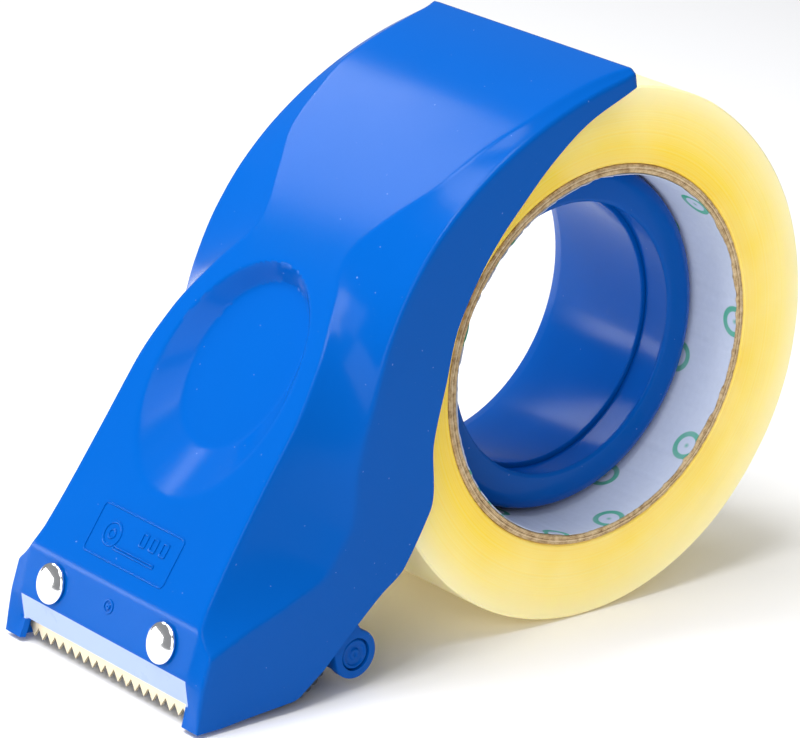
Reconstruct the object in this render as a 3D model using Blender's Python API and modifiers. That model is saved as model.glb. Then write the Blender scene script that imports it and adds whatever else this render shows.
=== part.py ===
"""Hand-held dispenser for wide packing tape: a moulded cover with a clip-in wheel, a roll of tape,
a guide roller, a ribbed pressure pad and a riveted, toothed blade.

X runs from the nose (-X) to the roll (+X), Y runs along the roll's axis from the open side (-Y) to the
closed cheek (+Y), and Z is up. The origin is on the floor, under the middle of the bounding box. Every
piece hangs from an empty at the middle of the roll's axis, so the sizes below count from that axis.
"""

import math

import bmesh
import bpy
from mathutils import Matrix, Vector

MM = 0.001

# --- driving sizes -------------------------------------------------------------------------------
ROLL_RADIUS = 56.2 * MM            # full roll of tape
TAPE_WIDTH = 48.0 * MM
CORE_BORE = 38.0 * MM              # inside radius of the lined cardboard core
CORE_WALL = 2.0 * MM
LINER_WALL = 0.2 * MM
HALF_WIDTH = 31.0 * MM             # mid-plane to the outside of a side wall
WALL = 2.2 * MM                    # moulded wall
NOSE_BEYOND_ROLL = 49.9 * MM       # foremost point beyond the front of a full roll
NOSE_REACH = ROLL_RADIUS + NOSE_BEYOND_ROLL

# --- clearances ----------------------------------------------------------------------------------
GLUE_GAP = 0.15 * MM               # between layers that are glued together
TOUCH_GAP = 0.3 * MM               # between pieces that rest on each other
SIDE_PLAY = 0.5 * MM               # each end of the roller and of the pad

# --- wheel and boss ------------------------------------------------------------------------------
WHEEL_PLAY = 0.75 * MM             # wheel rim inside the core, on the radius
WHEEL_RADIUS = CORE_BORE - WHEEL_PLAY
WHEEL_FRONT = -13.0 * MM           # front plane of the rim
RIM_LENGTH = 6.0 * MM
RIB_HEIGHT = 0.7 * MM
RIB_WIDTH = 3.0 * MM
RIB_COUNT = 8
LIP_BORE = 28.7 * MM
SHOULDER_BORE = 29.8 * MM
SHOULDER_LENGTH = 7.4 * MM
FLANGE_RADIUS = 41.5 * MM
FLANGE_LENGTH = 1.8 * MM
BOSS_BORE = 28.8 * MM              # at the boss's tip
BOSS_WALL = 1.4 * MM
BOSS_TAPER = 0.155                 # radius gained per length
BEAD_HEIGHT = 0.8 * MM
RUNNING_GAP = 0.4 * MM
MOUTH_RADIUS = 37.4 * MM
MOUTH_LENGTH = 5.4 * MM

# --- cover: one curve from the tail to the bend at the nose ---------------------------------------
TAIL_X = -2.1 * MM
TAIL_LIFT = 6.1 * MM               # tail above the roll's top
BEND_SETBACK = 3.2 * MM            # bend behind the foremost point
BEND_HEIGHT = 20.2 * MM            # bend above the floor
TAIL_SLOPE = math.radians(11.0)
PANEL_SLOPE = math.radians(57.7)
TAIL_PULL = 0.34                   # curve handles, as shares of the tail-to-bend distance
BEND_PULL = 0.497
# station along the curve, half-width of the top, depth of the side wall's top, depth of its free edge
STATIONS = [
    (0.00, 30.2, 0.9, 3.9),
    (0.03, 28.7, 1.3, 4.8),
    (0.10, 28.0, 1.4, 6.2),
    (0.20, 27.8, 1.5, 9.4),
    (0.29, 25.5, 1.4, 12.2),
    (0.37, 23.4, 1.4, 14.0),
    (0.45, 18.2, 1.7, 16.1),
    (0.54, 13.7, 3.0, 19.2),
    (0.62, 18.4, 5.6, 24.2),
    (0.70, 23.1, 10.0, 29.2),
    (0.78, 25.2, 14.6, 37.2),
    (0.85, 25.4, 20.4, 38.0),
    (0.89, 25.6, 20.2, 35.6),
    (0.94, 26.0, 14.4, 33.0),
    (0.98, 26.6, 7.8, 31.0),
]
SCOOP_SAG = 0.62                   # share of the depth reached halfway across a scoop

# --- nose ----------------------------------------------------------------------------------------
NOSE_HALF = 27.2 * MM              # half-width of the riveted panel and of the lip
PANEL_FOOT_SETBACK = 0.5 * MM
PANEL_FOOT_HEIGHT = 10.5 * MM
LIP_FOOT_SETBACK = 1.5 * MM
LIP_FOOT_HEIGHT = 5.1 * MM
LIP_WALL = 1.0 * MM
BEND_FLARE = 0.2 * MM              # extra half-width where the panel bends
# wall's top and free edge beside the bend, the panel's foot and the lip's foot: setback, height
NOSE_ROWS = [
    ((2.9, 15.8), (25.0, 2.2)),
    ((1.2, 9.7), (13.0, 1.4)),
    ((0.4, 4.7), (6.0, 0.8)),
]
NOSE_FLARE = 0.6 * MM              # side walls splay by this much at the foremost point
FLARE_LENGTH = 36.1 * MM           # splay starts this far behind the foremost point
RIVET_HALF_SPACING = 18.1 * MM
RIVET_SHARE = 0.55                 # down the riveted panel, from the bend
RIVET_HEAD_RADIUS = 4.15 * MM
RIVET_HEAD_HEIGHT = 1.5 * MM
RIVET_SHANK_RADIUS = 1.6 * MM
RIVET_TAIL_RADIUS = 2.6 * MM
RIVET_TAIL_HEIGHT = 0.9 * MM
HOLE_GAP = 0.3 * MM
WASHER_RADIUS = 3.6 * MM
WASHER_THICKNESS = 0.8 * MM

# --- blade ---------------------------------------------------------------------------------------
BLADE_THICKNESS = 0.6 * MM
TOOTH_PITCH = 2.8 * MM
TOOTH_COUNT = 19
TOOTH_HEIGHT = 2.1 * MM
BLADE_TIP_HEIGHT = 1.1 * MM        # above the floor

# --- thumb recess --------------------------------------------------------------------------------
RECESS_STATION = 0.757
RECESS_RIM = (26.1 * MM, 19.6 * MM)
RECESS_FLOOR = (17.9 * MM, 13.8 * MM)
RECESS_FLOOR_SHIFT = -5.6 * MM     # towards the tail
RECESS_DEPTH = 3.8 * MM

# --- cheek, roller and pad -----------------------------------------------------------------------
CHEEK_MARGIN = 5.3 * MM            # cheek beyond the mouth of the boss
CHEEK_START = math.radians(78.0)
CHEEK_END = math.radians(-130.0)
CHEEK_FIRST_STATION = 0.1
CHEEK_LAST_STATION = 0.85
EAR_LENGTH = 6.4 * MM
EAR_HEIGHT = 0.8 * MM              # above the floor
EAR_OVERLAP = 1.4 * MM             # ear above the lip's foot, inside the wall
EAR_INSET = 0.3 * MM               # ear's faces inside the wall's faces, so that none coincide
EAR_SLANT = 0.8 * MM               # top of the ear behind its foremost face
ROLLER_SETBACK = 41.1 * MM         # roller axis behind the foremost point
ROLLER_HEIGHT = 7.4 * MM           # roller axis above the floor
ROLLER_RADIUS = 4.7 * MM
ROLLER_BORE = 2.0 * MM
AXLE_RADIUS = 1.7 * MM
AXLE_END = 0.3 * MM                # axle's plain end beyond the far lug
AXLE_HEAD_RADIUS = 3.1 * MM
HEAD_SEAT_RADIUS = 3.4 * MM        # counterbore in the near lug
HEAD_SEAT_DEPTH = 1.2 * MM
HEAD_RECESS = 0.2 * MM             # head below the lug's face
AXLE_EDGE = 0.4 * MM
LUG_RADIUS = 5.1 * MM
LUG_WALL = 2.4 * MM
LUG_INSET = 2.0 * MM               # lug's outer face inside the wall's outer face
LUG_START = math.radians(-150.0)
LUG_SWEEP = math.radians(225.0)
LUG_REACH = 8.0 * MM               # lug's root above the roller's axis
LUG_LEAN = (3.0 * MM, 6.0 * MM)    # how far the lug's front and rear sides lean forward
# underside of the pad, a curve: setback and height above the floor of its front, control point and rear
PAD_CURVE = [(16.1, 0.7), (29.1, -1.7), (34.1, 5.5)]
PAD_THICKNESS = 2.6 * MM
PAD_RIB_COUNT = 8
PAD_RIB_DEPTH = 0.8 * MM
SEAT_WALL = 2.0 * MM
SEAT_START, SEAT_END = -0.06, 1.06  # ends of the pad's seat, as shares of the pad

# --- worked out from the above -------------------------------------------------------------------
AXIS_X = (NOSE_REACH - ROLL_RADIUS) / 2
FLOOR = -ROLL_RADIUS
INSIDE = HALF_WIDTH - WALL
SAG = WHEEL_PLAY - TOUCH_GAP       # the roll hangs this far below the wheel's axis
CHEEK_RADIUS = MOUTH_RADIUS + CHEEK_MARGIN

for old in list(bpy.data.objects):
    bpy.data.objects.remove(old, do_unlink=True)

collection = bpy.data.collections.new("tape_dispenser")
cutters = bpy.data.collections.new("cutters")


# --- helpers -------------------------------------------------------------------------------------
def material(name, colour, roughness, metallic=0.0, alpha=1.0):
    made = bpy.data.materials.new(name)
    made.use_nodes = True
    shader = made.node_tree.nodes["Principled BSDF"]
    shader.inputs["Base Color"].default_value = (*colour, 1.0)
    shader.inputs["Roughness"].default_value = roughness
    shader.inputs["Metallic"].default_value = metallic
    shader.inputs["Alpha"].default_value = alpha
    return made


def add(name, mesh, place, look=None):
    """An object of the part, or a cutter when it has no material."""
    item = bpy.data.objects.new(name, mesh)
    item.parent = roll_axis
    item.location = place
    if look is None:
        item.hide_render = True
        item.display_type = "WIRE"
        cutters.objects.link(item)
    else:
        mesh.materials.append(look)
        collection.objects.link(item)
    return item


def boolean(item, other, operation):
    cut = item.modifiers.new(operation.lower(), "BOOLEAN")
    cut.object = other
    cut.operation = operation
    cut.solver = "EXACT"


def turned(name, profile, place, look=None, steps=64):
    """Turn a closed loop of (radius, y) points about an axis along Y."""
    mesh = bpy.data.meshes.new(name)
    count = len(profile)
    edges = [(i, (i + 1) % count) for i in range(count)]
    if profile[0][0] == 0.0:
        edges.pop()
    mesh.from_pydata([(radius, 0.0, y) for radius, y in profile], edges, [])
    item = add(name, mesh, place, look)
    item.rotation_euler = (-math.pi / 2, 0.0, 0.0)
    screw = item.modifiers.new("turn", "SCREW")
    screw.axis = "Z"
    screw.steps = screw.render_steps = steps
    screw.use_merge_vertices = True
    screw.merge_threshold = 0.00001
    screw.use_smooth_shade = True
    return item


def ring(outer, inner, low, high, edge=0.0):
    """Profile of a ring, its outer edges chamfered; it runs down the outside and up the inside."""
    if not edge:
        return [(outer, high), (outer, low), (inner, low), (inner, high)]
    return [
        (outer, high - edge), (outer, low + edge), (outer - edge, low),
        (inner, low), (inner, high), (outer - edge, high),
    ]


def extruded(name, outline, width, place, look=None):
    """A closed outline of (x, z) points, given anticlockwise, extruded along Y about the middle."""
    build = bmesh.new()
    near = [build.verts.new((x, -width / 2, z)) for x, z in outline]
    build.faces.new(near)
    moved = bmesh.ops.extrude_face_region(build, geom=list(build.faces))
    far = [v for v in moved["geom"] if isinstance(v, bmesh.types.BMVert)]
    bmesh.ops.translate(build, verts=far, vec=(0.0, width, 0.0))
    bmesh.ops.recalc_face_normals(build, faces=build.faces)
    mesh = bpy.data.meshes.new(name)
    build.to_mesh(mesh)
    build.free()
    return add(name, mesh, place, look)


def cylinder(name, radius, length, matrix, steps=32):
    build = bmesh.new()
    bmesh.ops.create_cone(
        build, cap_ends=True, segments=steps, radius1=radius, radius2=radius, depth=length, matrix=matrix
    )
    mesh = bpy.data.meshes.new(name)
    build.to_mesh(mesh)
    build.free()
    return add(name, mesh, (0.0, 0.0, 0.0))


# --- the cover's curve ---------------------------------------------------------------------------
TAIL = Vector((TAIL_X, 0.0, ROLL_RADIUS + TAIL_LIFT))
BEND = Vector((BEND_SETBACK - NOSE_REACH, 0.0, FLOOR + BEND_HEIGHT))
CHORD = (BEND - TAIL).length
TAIL_HANDLE = TAIL - CHORD * TAIL_PULL * Vector((math.cos(TAIL_SLOPE), 0.0, math.sin(TAIL_SLOPE)))
BEND_HANDLE = BEND + CHORD * BEND_PULL * Vector((math.cos(PANEL_SLOPE), 0.0, math.sin(PANEL_SLOPE)))


def cover(t):
    """Point, direction towards the nose, and outward normal at station t of the cover's curve."""
    u = 1 - t
    point = u**3 * TAIL + 3 * u * u * t * TAIL_HANDLE + 3 * u * t * t * BEND_HANDLE + t**3 * BEND
    along = u * u * (TAIL_HANDLE - TAIL) + 2 * u * t * (BEND_HANDLE - TAIL_HANDLE)
    along = (along + t * t * (BEND - BEND_HANDLE)).normalized()
    return point, along, Vector((along.z, 0.0, -along.x))


PANEL_FOOT = Vector((PANEL_FOOT_SETBACK - NOSE_REACH, 0.0, FLOOR + PANEL_FOOT_HEIGHT))
LIP_FOOT = Vector((LIP_FOOT_SETBACK - NOSE_REACH, 0.0, FLOOR + LIP_FOOT_HEIGHT))
HUB = Vector((0.0, 0.0, SAG))


RIVET_DOWN = (PANEL_FOOT - BEND).normalized()
RIVET_OUT = Vector((RIVET_DOWN.z, 0.0, -RIVET_DOWN.x))
RIVET_POINT = BEND.lerp(PANEL_FOOT, RIVET_SHARE)
FRONT = Vector((-1.0, 0.0, 0.0))


def nose_point(setback, height):
    """Point on a side wall, in millimetres behind the foremost point and above the floor."""
    return Vector((setback * MM - NOSE_REACH, 0.0, FLOOR + height * MM))


def flare(point):
    """How far the side wall stands outside its usual plane at a point of the nose."""
    return NOSE_FLARE * max(0.0, 1 - (point.x + NOSE_REACH) / FLARE_LENGTH)


def sections():
    """Rows across the cover: crease, its half-width, the wall's top, its free edge, and wall outwards."""
    rows = []
    for t, half, top_depth, edge_depth in STATIONS:
        point, _, out = cover(t)
        rows.append((point, half * MM, point - top_depth * MM * out, point - edge_depth * MM * out, WALL * out))
    bend_out = WALL * (cover(1.0)[2] + RIVET_OUT).normalized()
    foot_out = (WALL + LIP_WALL) / 2 * (RIVET_OUT + FRONT).normalized()
    creases = (
        (BEND, NOSE_HALF + BEND_FLARE, bend_out),
        (PANEL_FOOT, NOSE_HALF, foot_out),
        (LIP_FOOT, NOSE_HALF, LIP_WALL * FRONT),
    )
    for (point, half, out), (top, edge) in zip(creases, NOSE_ROWS):
        rows.append((point, half, nose_point(*top), nose_point(*edge), out))
    return rows


def half_cover():
    """Near half of the moulding, a wall thick and open at the mid-plane, lofted from row to row."""
    build = bmesh.new()
    loops = []
    for crease, half, top, edge, out in sections():
        middle = crease.lerp(top, SCOOP_SAG)
        inward = -out
        middle_y = (half + HALF_WIDTH) / 2
        inner_half = min(half - WALL / 4, INSIDE - WALL / 2)
        inner_middle = min(middle_y - WALL / 4, INSIDE - WALL / 4)
        top_flare, edge_flare = flare(top), flare(edge)
        loop = [
            (crease, 0.0), (crease, half), (middle, middle_y + top_flare / 2), (top, HALF_WIDTH + top_flare),
            (edge, HALF_WIDTH + edge_flare), (edge, INSIDE + edge_flare), (top + inward, INSIDE + top_flare),
            (middle + inward, inner_middle + top_flare / 2), (crease + inward, inner_half),
            (crease + inward, 0.0),
        ]
        loops.append([build.verts.new((point.x, -y, point.z)) for point, y in loop])
    for loop, below in zip(loops, loops[1:]):
        for j in range(len(loop) - 1):
            build.faces.new((loop[j], loop[j + 1], below[j + 1], below[j]))
    build.faces.new(loops[0])
    build.faces.new(reversed(loops[-1]))
    bmesh.ops.triangulate(build, faces=build.faces)
    bmesh.ops.recalc_face_normals(build, faces=build.faces)
    mesh = bpy.data.meshes.new("body_shell")
    build.to_mesh(mesh)
    build.free()
    return mesh


# --- pieces --------------------------------------------------------------------------------------
def boss_radius(y):
    """Inside radius of the boss at y; it widens from its tip to its mouth."""
    return BOSS_BORE + BOSS_TAPER * (y - BOSS_TIP)


BOSS_TIP = WHEEL_FRONT + 0.6 * MM + SHOULDER_LENGTH + RUNNING_GAP
BEAD_Y = BOSS_TIP + 2.4 * MM
BEAD_HALF = 0.7 * MM
BOSS_FLANGE_FRONT = INSIDE - 0.6 * MM
BOSS_FACE = HALF_WIDTH - 0.4 * MM


def boss():
    root = HALF_WIDTH - MOUTH_LENGTH
    tip = boss_radius(BOSS_TIP)
    bead = boss_radius(BEAD_Y) + BOSS_WALL + BEAD_HEIGHT
    profile = [
        (CHEEK_RADIUS - CHEEK_MARGIN / 2, BOSS_FACE),
        (CHEEK_RADIUS - CHEEK_MARGIN / 2, BOSS_FLANGE_FRONT),
        (boss_radius(root) + BOSS_WALL + 0.8 * MM, BOSS_FLANGE_FRONT),
        (boss_radius(root) + BOSS_WALL, root),
        (boss_radius(BEAD_Y + 2 * BEAD_HALF) + BOSS_WALL, BEAD_Y + 2 * BEAD_HALF),
        (bead, BEAD_Y + BEAD_HALF),
        (bead, BEAD_Y - BEAD_HALF),
        (tip + BOSS_WALL, BOSS_TIP + 0.6 * MM),
        (tip + BOSS_WALL - 0.6 * MM, BOSS_TIP),
        (tip, BOSS_TIP),
        (boss_radius(root), root),
        (boss_radius(root) + 1.1 * MM, root + 0.6 * MOUTH_LENGTH),
        (MOUTH_RADIUS, BOSS_FACE),
    ]
    return turned("boss_form", profile, HUB)


def cheek():
    """Flat plate from inside the far wall round to a ring about the boss."""
    outline = []
    for t, _, top_depth, edge_depth in STATIONS:
        if CHEEK_FIRST_STATION <= t <= CHEEK_LAST_STATION:
            point, _, out = cover(t)
            point -= out * (top_depth + edge_depth) / 2 * MM
            outline.append((point.x, point.z))
    steps = 30
    for k in range(steps + 1):
        angle = CHEEK_END + (CHEEK_START - CHEEK_END) * k / steps
        outline.append((HUB.x + CHEEK_RADIUS * math.cos(angle), HUB.z + CHEEK_RADIUS * math.sin(angle)))
    return extruded("cheek_form", outline, WALL, (0.0, BOSS_FACE - WALL / 2, 0.0))


def ear(name, side):
    """Foot beside the blade: the nose's front wall carried on down to the floor."""
    outside = HALF_WIDTH + NOSE_FLARE - EAR_INSET
    width = outside - NOSE_HALF
    foremost, rear = -NOSE_REACH, EAR_LENGTH - NOSE_REACH
    shoulder = FLOOR + LIP_FOOT_HEIGHT
    outline = [
        (foremost, FLOOR + EAR_HEIGHT), (rear, FLOOR + EAR_HEIGHT), (rear, shoulder + EAR_OVERLAP),
        (foremost + EAR_INSET + EAR_SLANT, shoulder + EAR_OVERLAP),
        (foremost + EAR_INSET, shoulder - EAR_INSET),
    ]
    middle = side * (outside - width / 2)
    return extruded(name, outline, width, (0.0, middle, 0.0))


def recess(name, grow, top, bottom):
    """Oval bowl between two depths under the panel, its wall moved outwards by grow."""
    point, along, out = cover(RECESS_STATION)
    build = bmesh.new()
    rings = []
    steps = 40
    for depth in (top, bottom):
        share = depth / RECESS_DEPTH
        length = RECESS_RIM[0] + (RECESS_FLOOR[0] - RECESS_RIM[0]) * share + grow
        width = RECESS_RIM[1] + (RECESS_FLOOR[1] - RECESS_RIM[1]) * share + grow
        middle = point + along * (RECESS_FLOOR_SHIFT * share) - out * depth
        rings.append([
            build.verts.new(
                middle + along * length * math.cos(math.tau * k / steps)
                + Vector((0.0, width * math.sin(math.tau * k / steps), 0.0))
            )
            for k in range(steps)
        ])
    build.faces.new(rings[0])
    build.faces.new(rings[1])
    for k in range(steps):
        m = (k + 1) % steps
        build.faces.new((rings[0][k], rings[0][m], rings[1][m], rings[1][k]))
    bmesh.ops.recalc_face_normals(build, faces=build.faces)
    mesh = bpy.data.meshes.new(name)
    build.to_mesh(mesh)
    build.free()
    return add(name, mesh, (0.0, 0.0, 0.0))


ROLLER = Vector((ROLLER_SETBACK - NOSE_REACH, 0.0, FLOOR + ROLLER_HEIGHT))
LUG_FACE = HALF_WIDTH - LUG_INSET


def lug(name, side):
    """Tab that carries one end of the roller's axle: a round end blended into the wall."""
    steps = 16
    outline = [
        (LUG_RADIUS * math.cos(LUG_START + LUG_SWEEP * k / steps),
         LUG_RADIUS * math.sin(LUG_START + LUG_SWEEP * k / steps))
        for k in range(steps + 1)
    ]
    front, rear = outline[0][0], outline[-1][0]
    outline += [(rear - LUG_LEAN[1], outline[-1][1] + LUG_REACH), (front - LUG_LEAN[0], LUG_REACH)]
    middle = Vector((0.0, side * (LUG_FACE - LUG_WALL / 2), 0.0))
    return extruded(name, outline, LUG_WALL, ROLLER + middle)


def along_y(place):
    return Matrix.Translation(place) @ Matrix.Rotation(math.pi / 2, 4, "X")


def pad_line(share, lift):
    """Point on the pad's curved underside, share of the way from front to rear, raised by lift."""
    front, belly, rear = (nose_point(*place) for place in PAD_CURVE)
    point = front.lerp(belly, share).lerp(belly.lerp(rear, share), share)
    run = (belly - front).lerp(rear - belly, share).normalized()
    return point.x - run.z * lift, point.z + run.x * lift


def pad_seat():
    low = PAD_THICKNESS + TOUCH_GAP
    steps = 6
    shares = [SEAT_START + (SEAT_END - SEAT_START) * k / steps for k in range(steps + 1)]
    outline = [pad_line(share, low) for share in shares]
    outline += [pad_line(share, low + SEAT_WALL) for share in reversed(shares)]
    return extruded("pad_seat_form", outline, 2 * INSIDE + WALL, (0.0, 0.0, 0.0))


def rivet_matrix(side, depth):
    """Frame on a rivet's axis, depth below the panel's face, its Z pointing out of the panel."""
    place = RIVET_POINT + Vector((0.0, side * RIVET_HALF_SPACING, 0.0)) - RIVET_OUT * depth
    turn = RIVET_OUT.to_track_quat("Z", "Y")
    return Matrix.Translation(place) @ turn.to_matrix().to_4x4()


def body_shell(look):
    body = add("body_shell", half_cover(), (0.0, 0.0, 0.0), look)
    mirror = body.modifiers.new("mirror", "MIRROR")
    mirror.use_axis = (False, True, False)
    mirror.merge_threshold = 0.00001
    boolean(body, cheek(), "UNION")
    cheek_hole = cylinder(
        "cheek_hole", MOUTH_RADIUS + 1.0 * MM, 6 * WALL, along_y(HUB + Vector((0.0, INSIDE, 0.0))), 64
    )
    boolean(body, cheek_hole, "DIFFERENCE")
    boolean(body, boss(), "UNION")
    boolean(body, recess("recess_wall", WALL, WALL / 2, RECESS_DEPTH + WALL), "UNION")
    boolean(body, recess("recess_hollow", 0.0, -2 * WALL, RECESS_DEPTH), "DIFFERENCE")
    boolean(body, pad_seat(), "UNION")
    for name, side in (("near", -1), ("far", 1)):
        boolean(body, ear(f"ear_{name}", side), "UNION")
    for name, side in (("near", -1), ("far", 1)):
        boolean(body, lug(f"lug_{name}", side), "UNION")
    bore = cylinder("axle_bore", AXLE_RADIUS + HOLE_GAP, 4 * HALF_WIDTH, along_y(ROLLER), 24)
    boolean(body, bore, "DIFFERENCE")
    seat_middle = Vector((0.0, HEAD_SEAT_DEPTH - LUG_FACE - LUG_WALL, 0.0))
    head_seat = cylinder("head_seat", HEAD_SEAT_RADIUS, 2 * LUG_WALL, along_y(ROLLER + seat_middle), 32)
    boolean(body, head_seat, "DIFFERENCE")
    for name, side in (("near", -1), ("far", 1)):
        hole = cylinder(
            f"rivet_hole_{name}", RIVET_SHANK_RADIUS + HOLE_GAP, 4 * WALL, rivet_matrix(side, 0.0), 24
        )
        boolean(body, hole, "DIFFERENCE")
    return body


def tape_wheel(look):
    front = WHEEL_FRONT
    rim_back = front + RIM_LENGTH
    shoulder = front + 0.6 * MM + SHOULDER_LENGTH
    groove = boss_radius(BEAD_Y) + BOSS_WALL + BEAD_HEIGHT + RUNNING_GAP
    snap = BEAD_Y + 2 * BEAD_HALF + 0.4 * MM
    flange_back = TAPE_WIDTH / 2 + 2 * TOUCH_GAP + FLANGE_LENGTH
    flange_front = flange_back - FLANGE_LENGTH

    def bore(y):
        return boss_radius(y) + BOSS_WALL + RUNNING_GAP

    profile = [
        (FLANGE_RADIUS, flange_back),
        (FLANGE_RADIUS, flange_front),
        (WHEEL_RADIUS - RIB_HEIGHT, flange_front),
        (WHEEL_RADIUS - RIB_HEIGHT, rim_back + 0.4 * MM),
        (WHEEL_RADIUS, rim_back),
        (WHEEL_RADIUS, front + 3.2 * MM),
        (WHEEL_RADIUS - 0.9 * MM, front + 1.2 * MM),
        (WHEEL_RADIUS - 2.8 * MM, front + 0.1 * MM),
        (WHEEL_RADIUS - 5.0 * MM, front),
        (LIP_BORE + 0.8 * MM, front),
        (LIP_BORE, front + 0.5 * MM),
        (SHOULDER_BORE, front + 1.3 * MM),
        (SHOULDER_BORE, shoulder),
        (groove, shoulder),
        (groove, snap - 0.7 * MM),
        (bore(snap), snap),
        (bore(flange_back), flange_back),
    ]
    wheel = turned("tape_wheel", profile, HUB, look)
    length = flange_front - rim_back
    for k in range(RIB_COUNT):
        build = bmesh.new()
        bmesh.ops.create_cube(build, size=1.0)
        bmesh.ops.scale(build, vec=(RIB_WIDTH, length, 1.6 * MM), verts=build.verts)
        place = Matrix.Translation((0.0, rim_back + length / 2, WHEEL_RADIUS - 1.0 * MM))
        spin = Matrix.Rotation(math.tau * (k + 0.5) / RIB_COUNT, 4, "Y")
        build.transform(spin @ place)
        mesh = bpy.data.meshes.new(f"rib_{k}")
        build.to_mesh(mesh)
        build.free()
        mesh.transform(Matrix.Rotation(math.pi / 2, 4, "X"))
        rib = add(f"rib_{k}", mesh, HUB)
        rib.rotation_euler = wheel.rotation_euler
        boolean(wheel, rib, "UNION")
    return wheel


def tape_roll(core_look, liner_look, tape_look):
    """Core, its printed lining and the wound tape, all round the roll's own axis."""
    half = TAPE_WIDTH / 2
    steps = 72
    core_in = CORE_BORE + LINER_WALL
    core_out = CORE_BORE + CORE_WALL
    layers = (
        ("core_liner", ring(core_in - GLUE_GAP, CORE_BORE - GLUE_GAP, -half, half), liner_look),
        ("tape_core", ring(core_out, core_in, -half, half), core_look),
        ("tape_winding", ring(ROLL_RADIUS, core_out + GLUE_GAP, -half, half, 0.4 * MM), tape_look),
    )
    for name, profile, look in layers:
        turned(name, profile, (0.0, 0.0, 0.0), look, steps)


def guide_roller(roller_look, axle_look):
    end = LUG_FACE - LUG_WALL - SIDE_PLAY
    turned("guide_roller", ring(ROLLER_RADIUS, ROLLER_BORE, -end, end, 0.5 * MM), ROLLER, roller_look, 32)
    far_end = LUG_FACE + AXLE_END
    head_back = HEAD_SEAT_DEPTH - TOUCH_GAP - LUG_FACE
    head_face = HEAD_RECESS - LUG_FACE
    profile = [
        (0.0, far_end),
        (AXLE_RADIUS - AXLE_EDGE, far_end),
        (AXLE_RADIUS, far_end - AXLE_EDGE),
        (AXLE_RADIUS, head_back),
        (AXLE_HEAD_RADIUS, head_back),
        (AXLE_HEAD_RADIUS, head_face + AXLE_EDGE / 2),
        (AXLE_HEAD_RADIUS - AXLE_EDGE / 2, head_face),
        (0.0, head_face),
    ]
    turned("roller_axle", profile, ROLLER, axle_look, 24)


def pressure_pad(look):
    """Rubber strip under the nose: a flat top on its seat and rounded ribs along the underside."""
    points = []
    per_rib = 4
    for k in range(PAD_RIB_COUNT * per_rib + 1):
        share = k / (PAD_RIB_COUNT * per_rib)
        wave = abs(math.sin(math.pi * k / per_rib))
        points.append(pad_line(share, PAD_RIB_DEPTH * (1 - wave)))
    points += [pad_line(1.0 - k / PAD_RIB_COUNT, PAD_THICKNESS) for k in range(PAD_RIB_COUNT + 1)]
    extruded("pressure_pad", points, 2 * (INSIDE - SIDE_PLAY), (0.0, 0.0, 0.0), look)


def blade(look):
    """Sheet bent between a riveted tang and an upright plate whose lower edge is cut into teeth."""
    build = bmesh.new()
    middle = WALL + TOUCH_GAP + BLADE_THICKNESS / 2
    tang_top = BEND + RIVET_DOWN * 1.2 * MM - RIVET_OUT * middle
    plate_x = LIP_FOOT.x + LIP_WALL + TOUCH_GAP + BLADE_THICKNESS / 2
    bend = PANEL_FOOT - RIVET_OUT * middle - RIVET_DOWN * 1.0 * MM
    tip = FLOOR + BLADE_TIP_HEIGHT
    root = tip + TOOTH_HEIGHT
    start = -TOOTH_COUNT * TOOTH_PITCH / 2
    rows = [(tang_top.x, tang_top.z), (bend.x, bend.z), (plate_x, root)]
    grid = [
        [build.verts.new((x, start + TOOTH_PITCH * k, z)) for k in range(TOOTH_COUNT + 1)] for x, z in rows
    ]
    for upper, lower in zip(grid, grid[1:]):
        for k in range(TOOTH_COUNT):
            build.faces.new((upper[k], lower[k], lower[k + 1], upper[k + 1]))
    for k in range(TOOTH_COUNT):
        point = build.verts.new((plate_x, start + TOOTH_PITCH * (k + 0.5), tip))
        build.faces.new((grid[-1][k], point, grid[-1][k + 1]))
    mesh = bpy.data.meshes.new("blade")
    build.to_mesh(mesh)
    build.free()
    item = add("blade", mesh, (0.0, 0.0, 0.0), look)
    sheet = item.modifiers.new("sheet", "SOLIDIFY")
    sheet.thickness = BLADE_THICKNESS
    sheet.offset = 0.0
    sheet.use_even_offset = True
    for name, side in (("near", -1), ("far", 1)):
        hole = cylinder(
            f"blade_hole_{name}", RIVET_SHANK_RADIUS + HOLE_GAP, 3 * WALL, rivet_matrix(side, middle), 24
        )
        boolean(item, hole, "DIFFERENCE")


def fasteners(rivet_look, washer_look):
    """Two domed rivets through the panel and the blade's tang, each closed over a washer."""
    washer_top = WALL + 2 * TOUCH_GAP + BLADE_THICKNESS
    washer_foot = washer_top + WASHER_THICKNESS
    tail = washer_foot + TOUCH_GAP
    dome = [
        (RIVET_HEAD_RADIUS * math.sin(math.pi / 2 * k / 5),
         TOUCH_GAP + RIVET_HEAD_HEIGHT * (0.22 + 0.78 * math.cos(math.pi / 2 * k / 5)))
        for k in range(6)
    ]
    rivet = dome + [
        (RIVET_HEAD_RADIUS, TOUCH_GAP),
        (RIVET_SHANK_RADIUS, TOUCH_GAP),
        (RIVET_SHANK_RADIUS, -tail),
        (RIVET_TAIL_RADIUS, -tail),
        (RIVET_TAIL_RADIUS - 0.4 * MM, -tail - RIVET_TAIL_HEIGHT),
        (0.0, -tail - RIVET_TAIL_HEIGHT),
    ]
    washer = ring(WASHER_RADIUS, RIVET_SHANK_RADIUS + HOLE_GAP, -washer_foot, -washer_top)
    for name, side in (("near", -1), ("far", 1)):
        for piece, profile, look in (("rivet", rivet, rivet_look), ("rivet_washer", washer, washer_look)):
            item = turned(f"{piece}_{name}", profile, (0.0, 0.0, 0.0), look, 24)
            item.matrix_local = rivet_matrix(side, 0.0)


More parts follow.
